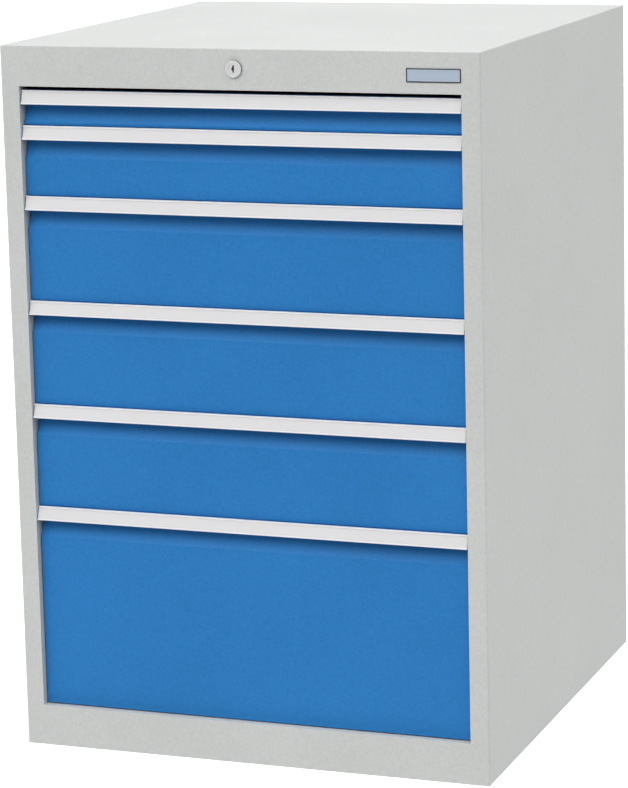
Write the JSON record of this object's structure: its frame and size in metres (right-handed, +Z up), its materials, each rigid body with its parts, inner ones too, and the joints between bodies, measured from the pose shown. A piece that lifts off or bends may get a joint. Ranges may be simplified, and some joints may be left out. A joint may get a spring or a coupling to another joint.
{
  "type": "drawer cabinet",
  "caption": "Floor-standing steel workshop cabinet with a column of full-extension drawers of graded height, aluminium grip strips and a central lock.",
  "frame": {"origin": "on the floor, under the centre of the whole cabinet's box", "axes": "+Z up, drawer fronts face -Y, +X to the right as seen from the front"},
  "size_m": [0.705, 0.739, 1.019],
  "materials": {
    "housing_paint": "light grey powder coat, fine texture",
    "front_paint": "gentian blue powder coat, satin",
    "grip_aluminium": "natural anodised extrusion",
    "label": "plain off-white label film",
    "tray_steel": "galvanised sheet",
    "zinc_steel": "zinc plated steel",
    "lock_chrome": "nickel plated",
    "plate": "bare pale blue-grey plate with a dark rim"
  },
  "bodies": {
    "housing": {"top_panel": "housing_paint", "left_side_panel": "housing_paint", "right_side_panel": "housing_paint", "back_panel": "housing_paint", "floor_panel": "housing_paint", "front_top_rail": "housing_paint", "front_bottom_rail": "housing_paint", "rail_uprights": "zinc_steel", "nameplate": "plate", "lock_barrel": "lock_chrome", "lock_nut": "zinc_steel", "lock_bar_guides": "zinc_steel", "cabinet_channels_1": "zinc_steel", "cabinet_channels_2": "zinc_steel", "cabinet_channels_3": "zinc_steel", "cabinet_channels_4": "zinc_steel", "cabinet_channels_5": "zinc_steel", "cabinet_channels_6": "zinc_steel"},
    "lock_plug": {"lock_plug": "lock_chrome", "lock_cam": "zinc_steel"},
    "transfer_bar": {"transfer_bar": "zinc_steel"},
    "locking_bar": {"locking_bar": "zinc_steel"},
    "drawer_1": {"drawer_1_front": "front_paint", "drawer_1_grip_strip": "grip_aluminium", "drawer_1_label_strip": "label", "drawer_1_tray": "tray_steel", "drawer_1_channels": "zinc_steel"},
    "rail_carriages_1": {"rail_carriages_1": "zinc_steel"},
    "drawer_2": {"drawer_2_front": "front_paint", "drawer_2_grip_strip": "grip_aluminium", "drawer_2_label_strip": "label", "drawer_2_tray": "tray_steel", "drawer_2_channels": "zinc_steel"},
    "rail_carriages_2": {"rail_carriages_2": "zinc_steel"},
    "drawer_3": {"drawer_3_front": "front_paint", "drawer_3_grip_strip": "grip_aluminium", "drawer_3_label_strip": "label", "drawer_3_tray": "tray_steel", "drawer_3_channels": "zinc_steel"},
    "rail_carriages_3": {"rail_carriages_3": "zinc_steel"},
    "drawer_4": {"drawer_4_front": "front_paint", "drawer_4_grip_strip": "grip_aluminium", "drawer_4_label_strip": "label", "drawer_4_tray": "tray_steel", "drawer_4_channels": "zinc_steel"},
    "rail_carriages_4": {"rail_carriages_4": "zinc_steel"},
    "drawer_5": {"drawer_5_front": "front_paint", "drawer_5_grip_strip": "grip_aluminium", "drawer_5_label_strip": "label", "drawer_5_tray": "tray_steel", "drawer_5_channels": "zinc_steel"},
    "rail_carriages_5": {"rail_carriages_5": "zinc_steel"},
    "drawer_6": {"drawer_6_front": "front_paint", "drawer_6_grip_strip": "grip_aluminium", "drawer_6_label_strip": "label", "drawer_6_tray": "tray_steel", "drawer_6_channels": "zinc_steel"},
    "rail_carriages_6": {"rail_carriages_6": "zinc_steel"}
  },
  "joints": [
    {"name": "key_turn", "type": "hinge", "parent": "housing", "child": "lock_plug", "pos_m": [0, -0.3665, 0.991], "axis": [0, 1, 0], "range_deg": [0, 90]},
    {"name": "transfer_bar_slide", "type": "slide", "parent": "housing", "child": "transfer_bar", "axis": [-1, 0, 0], "range_m": [0, 0.0143]},
    {"name": "locking_bar_slide", "type": "slide", "parent": "housing", "child": "locking_bar", "axis": [0, 0, -1], "range_m": [0, 0.007]},
    {"name": "drawer_1_slide", "type": "slide", "parent": "housing", "child": "drawer_1", "axis": [0, -1, 0], "range_m": [0, 0.6]},
    {"name": "rail_carriages_1_slide", "type": "slide", "parent": "housing", "child": "rail_carriages_1", "axis": [0, -1, 0], "range_m": [0, 0.3]},
    {"name": "drawer_2_slide", "type": "slide", "parent": "housing", "child": "drawer_2", "axis": [0, -1, 0], "range_m": [0, 0.6]},
    {"name": "rail_carriages_2_slide", "type": "slide", "parent": "housing", "child": "rail_carriages_2", "axis": [0, -1, 0], "range_m": [0, 0.3]},
    {"name": "drawer_3_slide", "type": "slide", "parent": "housing", "child": "drawer_3", "axis": [0, -1, 0], "range_m": [0, 0.6]},
    {"name": "rail_carriages_3_slide", "type": "slide", "parent": "housing", "child": "rail_carriages_3", "axis": [0, -1, 0], "range_m": [0, 0.3]},
    {"name": "drawer_4_slide", "type": "slide", "parent": "housing", "child": "drawer_4", "axis": [0, -1, 0], "range_m": [0, 0.6]},
    {"name": "rail_carriages_4_slide", "type": "slide", "parent": "housing", "child": "rail_carriages_4", "axis": [0, -1, 0], "range_m": [0, 0.3]},
    {"name": "drawer_5_slide", "type": "slide", "parent": "housing", "child": "drawer_5", "axis": [0, -1, 0], "range_m": [0, 0.6]},
    {"name": "rail_carriages_5_slide", "type": "slide", "parent": "housing", "child": "rail_carriages_5", "axis": [0, -1, 0], "range_m": [0, 0.3]},
    {"name": "drawer_6_slide", "type": "slide", "parent": "housing", "child": "drawer_6", "axis": [0, -1, 0], "range_m": [0, 0.6]},
    {"name": "rail_carriages_6_slide", "type": "slide", "parent": "housing", "child": "rail_carriages_6", "axis": [0, -1, 0], "range_m": [0, 0.3]}
  ],
  "couplings": [
    {"joint": "transfer_bar_slide", "follows": "locking_bar_slide", "ratio": 2.0203},
    {"joint": "key_turn", "follows": "locking_bar_slide", "rad_per_m": 224.4},
    {"joint": "rail_carriages_1_slide", "follows": "drawer_1_slide", "ratio": 0.5},
    {"joint": "rail_carriages_2_slide", "follows": "drawer_2_slide", "ratio": 0.5},
    {"joint": "rail_carriages_3_slide", "follows": "drawer_3_slide", "ratio": 0.5},
    {"joint": "rail_carriages_4_slide", "follows": "drawer_4_slide", "ratio": 0.5},
    {"joint": "rail_carriages_5_slide", "follows": "drawer_5_slide", "ratio": 0.5},
    {"joint": "rail_carriages_6_slide", "follows": "drawer_6_slide", "ratio": 0.5}
  ]
}
